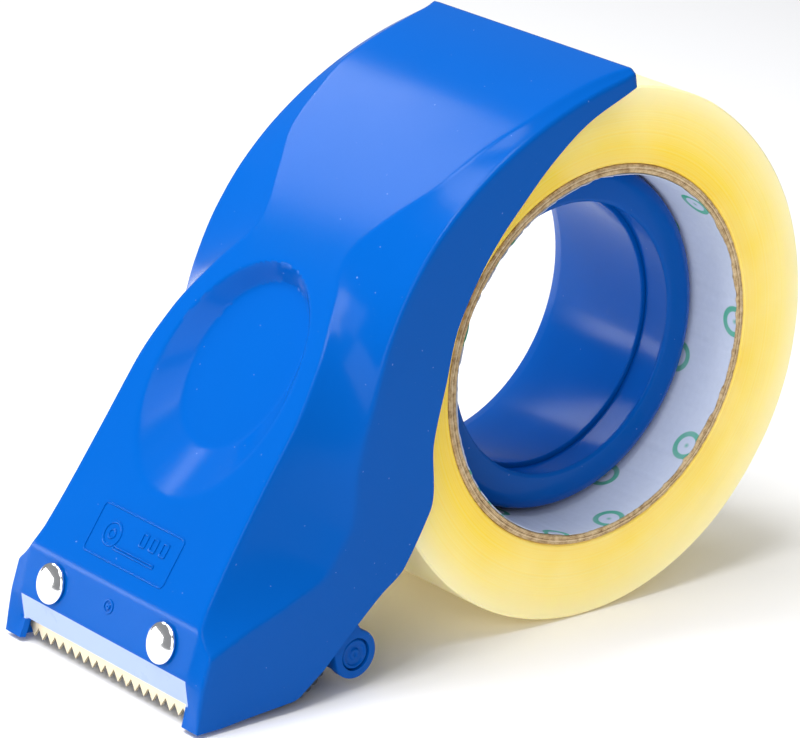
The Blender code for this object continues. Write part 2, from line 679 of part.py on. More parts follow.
# --- assembly ------------------------------------------------------------------------------------
bpy.context.scene.collection.children.link(collection)
bpy.context.scene.collection.children.link(cutters)
roll_axis = bpy.data.objects.new("roll_axis", None)
roll_axis.location = (AXIS_X, 0.0, ROLL_RADIUS)
collection.objects.link(roll_axis)

body_shell(material("blue_moulding", (0.006, 0.19, 0.76), 0.25))
tape_wheel(material("blue_wheel", (0.01, 0.13, 0.55), 0.3))
tape_roll(
    material("cardboard", (0.55, 0.40, 0.20), 0.9),
    material("lining_paper", (0.75, 0.80, 0.88), 0.7),
    material("wound_tape", (0.98, 0.80, 0.25), 0.35, alpha=0.9),
)
guide_roller(
    material("roller_plastic", (0.02, 0.15, 0.5), 0.4),
    material("pin_plastic", (0.01, 0.13, 0.55), 0.3),
)
pressure_pad(material("black_rubber", (0.015, 0.015, 0.015), 0.7))
blade(material("blade_metal", (0.66, 0.58, 0.42), 0.45, 0.6))
fasteners(
    material("bright_rivet", (0.85, 0.85, 0.85), 0.2, 1.0),
    material("washer_steel", (0.6, 0.6, 0.6), 0.4, 1.0),
)
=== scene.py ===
"""Looks of the hand-held packing-tape dispenser: a glossy blue moulding over a roll of clear tape."""

import math

import bmesh
import bpy
import numpy as np
from mathutils import Matrix, Vector, noise


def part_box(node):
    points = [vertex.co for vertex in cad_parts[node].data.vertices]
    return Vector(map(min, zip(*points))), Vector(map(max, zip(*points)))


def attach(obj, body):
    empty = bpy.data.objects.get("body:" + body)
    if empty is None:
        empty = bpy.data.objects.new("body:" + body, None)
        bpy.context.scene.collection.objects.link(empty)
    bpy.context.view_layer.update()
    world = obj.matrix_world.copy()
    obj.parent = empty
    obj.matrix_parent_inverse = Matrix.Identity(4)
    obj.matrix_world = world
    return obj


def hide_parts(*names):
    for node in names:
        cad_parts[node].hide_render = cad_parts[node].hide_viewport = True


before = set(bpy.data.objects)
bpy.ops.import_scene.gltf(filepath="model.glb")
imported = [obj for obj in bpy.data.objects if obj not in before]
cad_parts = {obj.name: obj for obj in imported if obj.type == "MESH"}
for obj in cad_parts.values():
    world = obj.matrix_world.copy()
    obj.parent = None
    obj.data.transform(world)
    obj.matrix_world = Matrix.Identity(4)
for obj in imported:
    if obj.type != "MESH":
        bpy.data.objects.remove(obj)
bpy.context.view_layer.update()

MM = 0.001
BODY, WHEEL, ROLL, ROLLER = "dispenser_body", "wheel", "tape_roll", "roller"

# --- places read from the frame -------------------------------------------------------------------
ROLL_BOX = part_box("tape_winding")
ROLL_AXIS = (Vector(ROLL_BOX[0]) + Vector(ROLL_BOX[1])) / 2
ROLL_RADIUS = (ROLL_BOX[1][2] - ROLL_BOX[0][2]) / 2
TAPE_HALF = (ROLL_BOX[1][1] - ROLL_BOX[0][1]) / 2
WHEEL_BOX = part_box("tape_wheel")
HUB = (Vector(WHEEL_BOX[0]) + Vector(WHEEL_BOX[1])) / 2
HUB.y = 0.0
FLOOR = -ROLL_RADIUS                                     # sizes below count from the roll's axis
NOSE_REACH = ROLL_AXIS.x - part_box("body_shell")[0][0]
HALF_WIDTH = 31.0 * MM
WALL = 2.2 * MM
INSIDE = HALF_WIDTH - WALL


# --- modelling by hand, in code -------------------------------------------------------------------
def fresh(name):
    """Deselect everything, so that the next primitive is the only thing worked on, and hand back its name."""
    bpy.ops.object.select_all(action="DESELECT")
    return name


def named(name):
    piece = bpy.context.active_object
    piece.name = name
    piece.data.name = name
    return piece


def edit(piece):
    bpy.context.view_layer.objects.active = piece
    bpy.ops.object.mode_set(mode="EDIT")
    bpy.ops.mesh.select_all(action="SELECT")


def done():
    bpy.ops.object.mode_set(mode="OBJECT")


def apply_all(piece):
    bpy.context.view_layer.objects.active = piece
    for modifier in list(piece.modifiers):
        bpy.ops.object.modifier_apply(modifier=modifier.name)


def settle(piece, body, look, slot, *nodes, angle=35.0):
    """Apply modifiers and place, shade, and hand the piece to its body; hide the CAD nodes that it stands in
    for. The slot is not used.
    """
    apply_all(piece)
    bpy.ops.object.select_all(action="DESELECT")
    piece.select_set(True)
    bpy.context.view_layer.objects.active = piece
    bpy.ops.object.transform_apply(location=True, rotation=True, scale=True)
    bpy.ops.object.shade_smooth_by_angle(angle=math.radians(angle))
    piece.data.materials.clear()
    piece.data.materials.append(look)
    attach(piece, body)
    if nodes:
        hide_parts(*nodes)
    return piece


def spun(name, profile, centre, steps):
    """Turn a closed outline of (radius, y) points about an axis along Y through centre."""
    fresh(name)
    start = centre + Vector((0.0, profile[0][1], profile[0][0]))
    bpy.ops.mesh.primitive_plane_add(size=MM, location=start)
    piece = named(name)
    bpy.ops.object.transform_apply(location=True, rotation=True, scale=True)
    edit(piece)
    bpy.ops.mesh.merge(type="CENTER")
    here = Vector(profile[0])
    for radius, y in [*profile[1:], profile[0]]:
        step = (0.0, y - here.y, radius - here.x)
        bpy.ops.mesh.extrude_region_move(TRANSFORM_OT_translate={"value": step})
        here = Vector((radius, y))
    bpy.ops.mesh.select_all(action="SELECT")
    bpy.ops.mesh.remove_doubles(threshold=0.001 * MM)
    bpy.ops.mesh.spin(steps=steps, angle=math.tau, center=centre, axis=(0.0, 1.0, 0.0))
    bpy.ops.mesh.select_all(action="SELECT")
    bpy.ops.mesh.remove_doubles(threshold=0.001 * MM)
    bpy.ops.mesh.normals_make_consistent(inside=False)
    done()
    return piece


def round_corners(outline, size, count=4):
    """Closed outline of (radius, y) points with each corner turned into a short curve."""
    made = []
    total = len(outline)
    for i in range(total):
        before, corner, after = (Vector(outline[(i + k) % total]) for k in (-1, 0, 1))
        reach = min(size, 0.45 * (before - corner).length, 0.45 * (after - corner).length)
        start = corner + (before - corner).normalized() * reach
        end = corner + (after - corner).normalized() * reach
        for k in range(count + 1):
            u = k / count
            made.append(tuple(start * (1 - u) ** 2 + corner * 2 * u * (1 - u) + end * u * u))
    return made


# --- materials ------------------------------------------------------------------------------------
class Look:
    """A node material built from short named steps."""

    def __init__(self, name):
        self.material = bpy.data.materials.new(name)
        self.material.use_nodes = True
        self.tree = self.material.node_tree
        self.shader = self.tree.nodes["Principled BSDF"]
        self.place = self.node("ShaderNodeTexCoord").outputs["Object"]

    def node(self, kind, **settings):
        made = self.tree.nodes.new(kind)
        for key, value in settings.items():
            setattr(made, key, value)
        return made

    def link(self, source, target):
        self.tree.links.new(source, target)

    def set(self, **values):
        for key, value in values.items():
            self.shader.inputs[key.replace("_", " ")].default_value = value

    def noise(self, scale, detail=3.0, roughness=0.55, stretch=None):
        made = self.node("ShaderNodeTexNoise")
        made.inputs["Scale"].default_value = scale
        made.inputs["Detail"].default_value = detail
        made.inputs["Roughness"].default_value = roughness
        source = self.place
        if stretch:
            mapping = self.node("ShaderNodeMapping")
            mapping.inputs["Scale"].default_value = stretch
            self.link(source, mapping.inputs["Vector"])
            source = mapping.outputs["Vector"]
        self.link(source, made.inputs["Vector"])
        return made.outputs["Fac"]

    def ramp(self, source, *stops, mode="LINEAR"):
        made = self.node("ShaderNodeValToRGB")
        made.color_ramp.interpolation = mode
        points = made.color_ramp.elements
        while len(points) < len(stops):
            points.new(0.5)
        for point, (position, colour) in zip(points, stops):
            point.position = position
            point.color = colour if len(colour) == 4 else (*colour, 1.0)
        self.link(source, made.inputs["Fac"])
        return made.outputs["Color"]

    def scale(self, source, low, high):
        made = self.node("ShaderNodeMapRange")
        made.inputs["To Min"].default_value = low
        made.inputs["To Max"].default_value = high
        self.link(source, made.inputs["Value"])
        return made.outputs["Result"]

    def maths(self, operation, a, b=None):
        made = self.node("ShaderNodeMath", operation=operation)
        for k, value in enumerate((a, b)):
            if value is None:
                continue
            if isinstance(value, (int, float)):
                made.inputs[k].default_value = value
            else:
                self.link(value, made.inputs[k])
        return made.outputs[0]

    def mix(self, share, a, b, blend="MIX"):
        made = self.node("ShaderNodeMix", data_type="RGBA", blend_type=blend)
        for socket, value in zip((made.inputs[0], made.inputs[6], made.inputs[7]), (share, a, b)):
            if isinstance(value, (int, float)):
                socket.default_value = value
            elif isinstance(value, tuple):
                socket.default_value = (*value, 1.0) if len(value) == 3 else value
            else:
                self.link(value, socket)
        return made.outputs[2]

    def bump(self, source, distance, strength=1.0):
        made = self.node("ShaderNodeBump")
        made.inputs["Distance"].default_value = distance
        made.inputs["Strength"].default_value = strength
        self.link(source, made.inputs["Height"])
        self.link(made.outputs["Normal"], self.shader.inputs["Normal"])

    def colour(self, source):
        self.link(source, self.shader.inputs["Base Color"])

    def roughness(self, source):
        self.link(source, self.shader.inputs["Roughness"])

    def about(self, centre):
        """Radius and angle about an axis along Y through centre."""
        apart = self.node("ShaderNodeSeparateXYZ")
        self.link(self.place, apart.inputs["Vector"])
        x = self.maths("SUBTRACT", apart.outputs["X"], centre.x)
        z = self.maths("SUBTRACT", apart.outputs["Z"], centre.z)
        square = self.maths("ADD", self.maths("POWER", x, 2.0), self.maths("POWER", z, 2.0))
        radius = self.maths("SQRT", square)
        return radius, self.maths("ARCTAN2", z, x), apart.outputs["Y"]


LIP_REFLECTION_BAND = (4.7 * MM, 10.2 * MM)                          # lowest and highest of the band painted pale as a reflection of the bright floor
LIP_REFLECTION_DEPTH = 1.9 * MM


def blue_plastic(name, base, deep, lip_reflection=False):
    """Glossy moulded plastic: slow flow marks, faint handling smudges, a few specks of dust, and on the
    nose's front lip a pale painted reflection.
    """
    look = Look(name)
    flow = look.noise(26.0, 2.0)
    colour = look.mix(look.scale(flow, 0.0, 0.6), base, deep)
    specks = look.noise(1500.0, 0.0)
    dust = look.ramp(specks, (0.0, (0.0, 0.0, 0.0)), (0.88, (0.0, 0.0, 0.0)), (0.91, (1.0, 1.0, 1.0)))
    colour = look.mix(look.maths("MULTIPLY", dust, 0.25), colour, (0.45, 0.6, 0.85))
    smudge = look.scale(look.noise(90.0, 5.0, 0.6), 0.12, 0.24)
    # Painted reflection: the pale lavender band on the front lip stands in for the glossy lip reflecting the
    # bright floor; the band also gets a little more roughness.
    if lip_reflection:
        apart = look.node("ShaderNodeSeparateXYZ")
        look.link(look.place, apart.inputs["Vector"])
        low = look.maths("LESS_THAN", apart.outputs["Z"], LIP_REFLECTION_BAND[1])
        inner = look.maths("LESS_THAN", look.maths("ABSOLUTE", apart.outputs["Y"]), NOSE_HALF - 0.3 * MM)
        fore = look.maths("LESS_THAN", apart.outputs["X"], ROLL_AXIS.x - NOSE_REACH + LIP_REFLECTION_DEPTH)
        above = look.maths("GREATER_THAN", apart.outputs["Z"], LIP_REFLECTION_BAND[0])
        height, place = look.maths("MULTIPLY", low, above), look.maths("MULTIPLY", inner, fore)
        reflection_band = look.maths("MULTIPLY", height, place)
        colour = look.mix(look.maths("MULTIPLY", reflection_band, 0.92), colour, (0.40, 0.49, 0.80))
        smudge = look.maths("ADD", smudge, look.maths("MULTIPLY", reflection_band, 0.1))
    look.colour(colour)
    look.roughness(smudge)
    look.set(Specular_IOR_Level=0.08, IOR=1.5)
    look.bump(look.noise(900.0, 2.0), 0.02 * MM, 0.3)
    return look.material


def tape_film():
    """Many layers of clear film: fine rings on the rolled ends, brighter and paler towards the outside, with
    a faint painted glow.
    """
    look = Look("wound tape film")
    radius, _, _ = look.about(ROLL_AXIS)
    share = look.node("ShaderNodeMapRange")
    share.inputs["From Min"].default_value = 40.0 * MM
    share.inputs["From Max"].default_value = ROLL_RADIUS
    look.link(radius, share.inputs["Value"])
    base = look.ramp(
        share.outputs["Result"],
        (0.0, (0.9, 0.58, 0.0)), (0.25, (0.96, 0.67, 0.02)),
        (0.7, (1.0, 0.80, 0.24)), (1.0, (1.0, 0.90, 0.55)),
    )
    rings = look.node("ShaderNodeTexNoise", noise_dimensions="1D")
    rings.inputs["Scale"].default_value = 1.0
    rings.inputs["Detail"].default_value = 4.0
    look.link(look.maths("MULTIPLY", radius, 2600.0), rings.inputs["W"])
    streak = look.noise(60.0, 3.0)
    cloudy = look.mix(look.scale(look.noise(28.0, 3.0), -0.7, 0.9), base, (1.0, 0.87, 0.46))
    look.colour(look.mix(look.scale(rings.outputs["Fac"], -0.2, 0.45), cloudy, (1.0, 0.86, 0.40)))
    # The faint yellow emission is a painted glow: it stands in for light shining through the film where the
    # roll lies in shade.
    look.set(
        Subsurface_Weight=0.3, Subsurface_Radius=(1.0, 0.7, 0.2), Subsurface_Scale=4.0 * MM,
        Emission_Color=(1.0, 0.72, 0.18, 1.0), Emission_Strength=0.1, Specular_IOR_Level=0.3,
    )
    look.roughness(look.scale(streak, 0.28, 0.46))
    look.bump(rings.outputs["Fac"], 0.05 * MM, 0.5)
    return look.material


def board():
    """Spiral-wound grey-brown board: thin dark and pale layers, and a rough fibrous cut."""
    look = Look("core board")
    grain = look.noise(700.0, 5.0, 0.7)
    radius, _, _ = look.about(ROLL_AXIS)
    plies = look.node("ShaderNodeTexNoise", noise_dimensions="1D")
    plies.inputs["Scale"].default_value = 1.0
    plies.inputs["Detail"].default_value = 2.0
    look.link(look.maths("MULTIPLY", radius, 2400.0), plies.inputs["W"])
    fibres = look.maths("MULTIPLY", grain, 0.45)
    layers = look.maths("MULTIPLY", plies.outputs["Fac"], 0.6)
    depth = look.maths("ADD", fibres, layers)
    look.colour(look.ramp(
        depth, (0.36, (0.10, 0.05, 0.02)), (0.46, (0.34, 0.21, 0.09)), (0.55, (0.62, 0.45, 0.25)),
        (0.68, (0.80, 0.66, 0.44)),
    ))
    look.set(Roughness=0.9)
    look.bump(depth, 0.3 * MM, 0.9)
    return look.material


def lining():
    """Bluish white lining paper with a sparse print of small green rings."""
    look = Look("lining paper")
    fibre = look.noise(900.0, 4.0)
    paper = look.mix(look.scale(fibre, 0.0, 0.5), (0.54, 0.60, 0.74), (0.40, 0.46, 0.61))
    _, angle, y = look.about(ROLL_AXIS)
    unrolled = look.node("ShaderNodeCombineXYZ")
    look.link(look.maths("MULTIPLY", angle, 38.0 * MM), unrolled.inputs["X"])
    look.link(y, unrolled.inputs["Y"])
    cells = look.node("ShaderNodeTexVoronoi", voronoi_dimensions="2D")
    cells.inputs["Scale"].default_value = 68.0
    cells.inputs["Randomness"].default_value = 0.55
    look.link(unrolled.outputs["Vector"], cells.inputs["Vector"])
    ring = look.ramp(
        cells.outputs["Distance"], (0.0, (1.0,) * 3), (0.05, (0.0,) * 3), (0.14, (0.0,) * 3),
        (0.155, (1.0,) * 3), (0.22, (1.0,) * 3), (0.235, (0.0,) * 3),
    )
    kept = look.ramp(cells.outputs["Color"], (0.50, (0.0,) * 3), (0.52, (1.0,) * 3))
    faded = look.maths("MULTIPLY", kept, look.scale(look.noise(160.0, 2.0), 0.45, 1.15))
    look.colour(look.mix(look.maths("MULTIPLY", ring, faded), paper, (0.0, 0.33, 0.19)))
    look.set(Roughness=0.75)
    look.bump(fibre, 0.03 * MM, 0.4)
    return look.material


def metal(name, low, high, rough, stretch=None):
    look = Look(name)
    grain = look.noise(420.0, 4.0, 0.6, stretch)
    look.colour(look.mix(grain, low, high))
    look.set(Metallic=1.0)
    look.roughness(look.scale(grain, rough * 0.75, rough * 1.3))
    look.bump(grain, 0.01 * MM, 0.4)
    return look.material


def rubber():
    look = Look("black rubber")
    grain = look.noise(800.0, 4.0)
    look.colour(look.mix(grain, (0.008, 0.008, 0.009), (0.03, 0.03, 0.032)))
    look.roughness(look.scale(grain, 0.5, 0.8))
    look.bump(grain, 0.06 * MM, 0.6)
    return look.material


# --- the cover ------------------------------------------------------------------------------------
TAIL = Vector((-2.1 * MM, 0.0, ROLL_RADIUS + 6.1 * MM))
BEND = Vector((3.2 * MM - NOSE_REACH, 0.0, FLOOR + 20.2 * MM))
TAIL_SLOPE, PANEL_SLOPE = math.radians(11.0), math.radians(57.7)
CHORD = (BEND - TAIL).length
TAIL_HANDLE = TAIL - CHORD * 0.34 * Vector((math.cos(TAIL_SLOPE), 0.0, math.sin(TAIL_SLOPE)))
BEND_HANDLE = BEND + CHORD * 0.497 * Vector((math.cos(PANEL_SLOPE), 0.0, math.sin(PANEL_SLOPE)))
PANEL_FOOT = Vector((0.5 * MM - NOSE_REACH, 0.0, FLOOR + 10.5 * MM))
LIP_FOOT = Vector((1.5 * MM - NOSE_REACH, 0.0, FLOOR + 5.1 * MM))
LIP_WALL = 1.0 * MM
NOSE_HALF = 27.2 * MM
NOSE_FLARE = 0.6 * MM
FLARE_START = -70.0 * MM
EAR_HEIGHT = 0.8 * MM
# station along the cover, half-width of its top, depth of the side wall's top, depth of its free edge
STATIONS = np.array([
    (0.00, 30.2, 0.9, 3.9),
    (0.03, 28.7, 1.3, 4.8),
    (0.10, 28.0, 1.4, 6.2),
    (0.20, 27.8, 1.5, 9.4),
    (0.29, 25.5, 1.4, 12.2),
    (0.37, 23.4, 1.4, 14.0),
    (0.45, 18.2, 1.7, 16.1),
    (0.54, 13.7, 3.0, 19.2),
    (0.62, 18.4, 5.6, 24.2),
    (0.70, 23.1, 10.0, 29.2),
    (0.78, 25.2, 14.6, 37.2),
    (0.85, 25.4, 20.4, 38.0),
    (0.89, 25.6, 20.2, 35.6),
    (0.94, 26.0, 14.4, 33.0),
    (0.98, 26.6, 7.8, 31.0),
])
SCOOP_SAG = 0.62
RECESS_STATION = 0.757
RECESS_RIM = (26.1 * MM, 19.6 * MM)
RECESS_FLOOR = (17.9 * MM, 13.8 * MM)
RECESS_SHIFT = -5.6 * MM
RECESS_DEPTH = 3.8 * MM


def cover_at(t):
    """Point, direction towards the nose and outward normal at station t of the cover's curve."""
    u = 1 - t
    point = u**3 * TAIL + 3 * u * u * t * TAIL_HANDLE + 3 * u * t * t * BEND_HANDLE + t**3 * BEND
    along = u * u * (TAIL_HANDLE - TAIL) + 2 * u * t * (BEND_HANDLE - TAIL_HANDLE)
    along = (along + t * t * (BEND - BEND_HANDLE)).normalized()
    return point, along, Vector((along.z, 0.0, -along.x))


def flowing(t, column):
    """Smooth value of a station column at t: a cubic through the stations that never overshoots."""
    keys, values = STATIONS[:, 0], STATIONS[:, column]
    gaps = np.diff(keys)
    rises = np.diff(values) / gaps
    slopes = np.zeros(len(keys))
    same = rises[:-1] * rises[1:] > 0
    inner = np.where(same, 2 * rises[:-1] * rises[1:] / np.where(same, rises[:-1] + rises[1:], 1.0), 0.0)
    slopes[1:-1] = inner
    slopes[0], slopes[-1] = rises[0], rises[-1]
    i = int(np.clip(np.searchsorted(keys, t) - 1, 0, len(gaps) - 1))
    h = gaps[i]
    s = (t - keys[i]) / h
    return MM * float(
        values[i] * (1 + 2 * s) * (1 - s) ** 2 + slopes[i] * h * s * (1 - s) ** 2
        + values[i + 1] * s * s * (3 - 2 * s) + slopes[i + 1] * h * s * s * (s - 1)
    )


def curve3(start, control, end, count):
    """Points of a quadratic curve, both ends included."""
    u = np.linspace(0.0, 1.0, count)[:, None]
    return start * (1 - u) ** 2 + control * 2 * u * (1 - u) + end * u * u


TOP_POINTS, EDGE_POINTS, SCOOP_POINTS, WALL_POINTS = 44, 6, 14, 12


def section(middle, crease, sag, top, edge, round_crease, round_top):
    """Half a cross-section from the mid-plane over the crease, down the scoop and the side wall."""
    middle, crease, sag, top, edge = (np.array(p, float) for p in (middle, crease, sag, top, edge))

    def towards(a, b, reach):
        length = np.linalg.norm(b - a)
        return a + (b - a) * min(reach, 0.42 * length) / max(length, 1e-9)

    before, after = towards(crease, middle, round_crease), towards(crease, sag, round_crease)
    above, below = towards(top, sag, round_top), towards(top, edge, round_top)
    flat = curve3(middle, (middle + before) / 2, before, TOP_POINTS)
    fold = curve3(before, crease, after, EDGE_POINTS)
    scoop = curve3(after, sag * 0.75 + (after + above) * 0.125, above, SCOOP_POINTS)
    shoulder = curve3(above, top, below, EDGE_POINTS)
    wall = curve3(below, (below + edge) / 2, edge, WALL_POINTS)
    return np.concatenate([flat, fold[1:], scoop[1:], shoulder[1:], wall[1:]])


def flare(point):
    """How far the side wall splays outwards at a point of the nose."""
    return NOSE_FLARE * max(0.0, (FLARE_START - point.x) / (FLARE_START + NOSE_REACH))


def loop_points(crease, half, top, edge, inward, round_crease=0.7 * MM, round_top=0.9 * MM):
    """Closed half section: the outside from mid-plane to free edge, then the inside back again."""
    sag = crease.lerp(top, SCOOP_SAG)
    top_out, edge_out = flare(top), flare(edge)
    middle_y = (half + HALF_WIDTH + top_out) / 2
    outside = section(
        (crease.x, 0, crease.z), (crease.x, -half, crease.z), (sag.x, -middle_y, sag.z),
        (top.x, -HALF_WIDTH - top_out, top.z), (edge.x, -HALF_WIDTH - edge_out, edge.z),
        round_crease, round_top,
    )
    low, mid, deep = crease + inward, sag + inward, top + inward
    inner_half = min(half - WALL / 4, INSIDE - WALL / 2)
    inner_mid = min(middle_y - WALL / 4, INSIDE - WALL / 4)
    inside = section(
        (low.x, 0, low.z), (low.x, -inner_half, low.z), (mid.x, -inner_mid, mid.z),
        (deep.x, -INSIDE - top_out, deep.z), (edge.x, -INSIDE - edge_out, edge.z), round_crease, round_top,
    )
    return outside, inside


def recess_depth(points):
    """Depth of the oval thumb recess under each point of the top panel."""
    centre, along, _ = cover_at(RECESS_STATION)
    s = (points - np.array(centre)) @ np.array(along)
    y = points[:, 1]
    low, high = np.zeros(len(s)), np.ones(len(s))
    for _ in range(24):
        share = (low + high) / 2
        length = RECESS_RIM[0] + (RECESS_FLOOR[0] - RECESS_RIM[0]) * share
        width = RECESS_RIM[1] + (RECESS_FLOOR[1] - RECESS_RIM[1]) * share
        inside = ((s - RECESS_SHIFT * share) / length) ** 2 + (y / width) ** 2 < 1
        low, high = np.where(inside, share, low), np.where(inside, high, share)
    ease = 0.09
    share = np.clip(low, 0.0, 1.0)
    soft = np.where(share < ease, share**2 / (2 * ease), share - ease / 2)
    soft = np.where(share > 1 - ease, 1 - ease - (1 - share) ** 2 / (2 * ease), soft)
    return RECESS_DEPTH * soft / (1 - ease)


def nose_point(back, height):
    return Vector((back * MM - NOSE_REACH, 0.0, FLOOR + height * MM))


def cover_rows():
    """All the section loops from the tail to the feet, as arrays of points from the roll's axis."""
    rows = []
    for t in np.linspace(0.0063, 0.98, 236):
        point, _, out = cover_at(float(t))
        half, top_depth, edge_depth = (flowing(t, k) for k in (1, 2, 3))
        inward = -WALL * out
        outside, inside = loop_points(point, half, point - top_depth * out, point - edge_depth * out, inward)
        for part in (outside, inside):
            part -= np.outer(recess_depth(outside), np.array(out)) * (np.abs(part[:, 1:2]) < 26 * MM)
        rows.append(np.concatenate([outside, inside[::-1]]))
    front = Vector((-1.0, 0.0, 0.0))
    down = (PANEL_FOOT - BEND).normalized()
    panel_out = Vector((down.z, 0.0, -down.x))
    bend_in = -WALL * (cover_at(1.0)[2] + panel_out).normalized()
    foot_in = -(WALL + LIP_WALL) / 2 * (panel_out + front).normalized()
    corners = [
        (BEND, NOSE_HALF + 0.2 * MM, nose_point(2.9, 15.8), nose_point(25.0, 2.2), bend_in),
        (PANEL_FOOT, NOSE_HALF, nose_point(1.2, 9.7), nose_point(13.0, 1.4), foot_in),
        (LIP_FOOT, NOSE_HALF, nose_point(0.4, 4.7), nose_point(6.0, 0.8), -LIP_WALL * front),
    ]
    nose = []
    for point, half, top, edge, inward in corners:
        outside, inside = loop_points(point, half, top, edge, inward, 0.9 * MM, 0.9 * MM)
        nose.append(np.concatenate([outside, inside[::-1]]))
    count = len(outside)
    columns = np.arange(count)
    feet = nose[-1].copy()
    for part, depth in ((feet[:count], 0.3 * MM), (feet[count:][::-1], LIP_WALL + 0.3 * MM)):
        beyond, wall = columns >= TOP_POINTS, columns >= count - WALL_POINTS
        part[beyond, 0] = depth - NOSE_REACH
        part[wall, 0] = np.linspace(depth - NOSE_REACH, 6.0 * MM - NOSE_REACH, int(wall.sum()))
        part[beyond, 2] = FLOOR + EAR_HEIGHT
    path = [rows[-1], *nose]
    for i in (1, 2):
        rows.extend(bent(path[i - 1], path[i], path[i + 1], 0.9 * MM, 8 if i == 1 else 6))
    rows.extend([nose[-1], nose[-1] * 0.5 + feet * 0.5, feet])
    return rows


def bent(before, corner, after, reach, fill):
    """Rows that lead up to a corner row and round it off."""
    span_in = np.linalg.norm(corner[0] - before[0])
    span_out = np.linalg.norm(after[0] - corner[0])
    start = corner + (before - corner) * reach / span_in
    end = corner + (after - corner) * reach / span_out
    run = [before + (start - before) * k / fill for k in range(1, fill + 1)]
    arc = [start * (1 - u) ** 2 + corner * 2 * u * (1 - u) + end * u * u for u in (0.25, 0.5, 0.75, 1.0)]
    return run + arc


def cover(look):
    """Cover, scoops, recess, side walls, nose and feet: one grid wrapped round the wall's two faces."""
    rows = cover_rows()
    count = len(rows[0]) // 2
    closing = []
    for row in (rows[0], rows[-1]):
        middle = (row[:count] + row[count:][::-1]) / 2
        closing.append(np.concatenate([middle, middle[::-1]]))
    tailwards = np.array((TAIL - TAIL_HANDLE).normalized())
    rounded = closing[0] + (rows[0] - closing[0]) * 0.7 + tailwards * 0.65 * MM
    table = [closing[0] + tailwards * 0.9 * MM, rounded, *rows, closing[1]]
    fresh("cover_moulding")
    bpy.ops.mesh.primitive_grid_add(x_subdivisions=len(table[0]) - 1, y_subdivisions=len(table) - 1, size=0.1)
    piece = named("cover_moulding")
    points = np.concatenate(table) + np.array(ROLL_AXIS)
    piece.data.vertices.foreach_set("co", points.ravel())
    piece.data.update()
    edit(piece)
    bpy.ops.mesh.remove_doubles(threshold=0.002 * MM)
    bpy.ops.mesh.normals_make_consistent(inside=False)
    done()
    mirror = piece.modifiers.new("other half", "MIRROR")
    mirror.use_axis = (False, True, False)
    mirror.merge_threshold = 0.01 * MM
    return settle(piece, BODY, look, "blue_moulding", "body_shell", angle=32.0)


# --- the rest of the blue moulding ----------------------------------------------------------------
def slab(name, outline, low, high, edge=0.3 * MM):
    """Flat piece: a closed outline of (x, z) points from the roll's axis, thick from y low to y high."""
    fresh(name)
    bpy.ops.mesh.primitive_circle_add(vertices=len(outline), radius=10 * MM, fill_type="NGON")
    piece = named(name)
    places = [ROLL_AXIS + Vector((x, low, z)) for x, z in outline]
    piece.data.vertices.foreach_set("co", np.array(places).ravel())
    piece.data.update()
    edit(piece)
    bpy.ops.mesh.extrude_region_move(TRANSFORM_OT_translate={"value": (0.0, high - low, 0.0)})
    bpy.ops.mesh.select_all(action="SELECT")
    bpy.ops.mesh.normals_make_consistent(inside=False)
    done()
    if edge:
        rounding = piece.modifiers.new("rounded edges", "BEVEL")
        rounding.width = edge
        rounding.segments = 3
        rounding.limit_method = "ANGLE"
        rounding.angle_limit = math.radians(45.0)
    return piece


def drill(piece, centre, radius, length):
    """Cut a round hole along Y."""
    apply_all(piece)
    fresh("drill")
    bpy.ops.mesh.primitive_cylinder_add(
        vertices=96, radius=radius, depth=length, location=centre, rotation=(math.pi / 2, 0.0, 0.0)
    )
    bit = named("drill")
    hole = piece.modifiers.new("hole", "BOOLEAN")
    hole.object = bit
    hole.operation = "DIFFERENCE"
    hole.solver = "EXACT"
    apply_all(piece)
    bpy.data.objects.remove(bit, do_unlink=True)


BOSS_TIP = -4.6 * MM
BOSS_END = BOSS_TIP - 0.28 * MM
BOSS_ROOT = HALF_WIDTH - 5.4 * MM
BOSS_WALL = 1.4 * MM
BOSS_FACE = HALF_WIDTH - 0.4 * MM
MOUTH_FACE = BOSS_FACE - 0.04 * MM
MOUTH_RADIUS = 37.4 * MM
CHEEK_RADIUS = 42.7 * MM


def boss_radius(y):
    return 28.8 * MM + 0.155 * (y - BOSS_TIP)


def boss(look):
    """Tapered tube that the wheel turns on, with its retaining bead and its flared mouth."""
    bead = boss_radius(-2.2 * MM) + BOSS_WALL + 0.8 * MM
    root, tip = boss_radius(BOSS_ROOT), boss_radius(BOSS_TIP)
    profile = round_corners([
        (MOUTH_RADIUS + 0.5 * MM, MOUTH_FACE),
        (MOUTH_RADIUS + 0.5 * MM, INSIDE + 0.6 * MM),
        (CHEEK_RADIUS - 2.6 * MM, INSIDE + 0.6 * MM),
        (CHEEK_RADIUS - 2.6 * MM, INSIDE - 0.6 * MM),
        (root + BOSS_WALL + 0.8 * MM, INSIDE - 0.6 * MM),
        (root + BOSS_WALL, BOSS_ROOT),
        (boss_radius(-0.8 * MM) + BOSS_WALL, -0.8 * MM),
        (bead, -1.5 * MM),
        (bead, -2.9 * MM),
        (tip + BOSS_WALL, BOSS_END),
        (tip, BOSS_END),
        (root, BOSS_ROOT),
        (root + 1.1 * MM, BOSS_ROOT + 3.2 * MM),
        (MOUTH_RADIUS, MOUTH_FACE),
    ], 0.4 * MM)
    settle(spun("hub_boss", profile, HUB, 160), BODY, look, "blue_moulding")


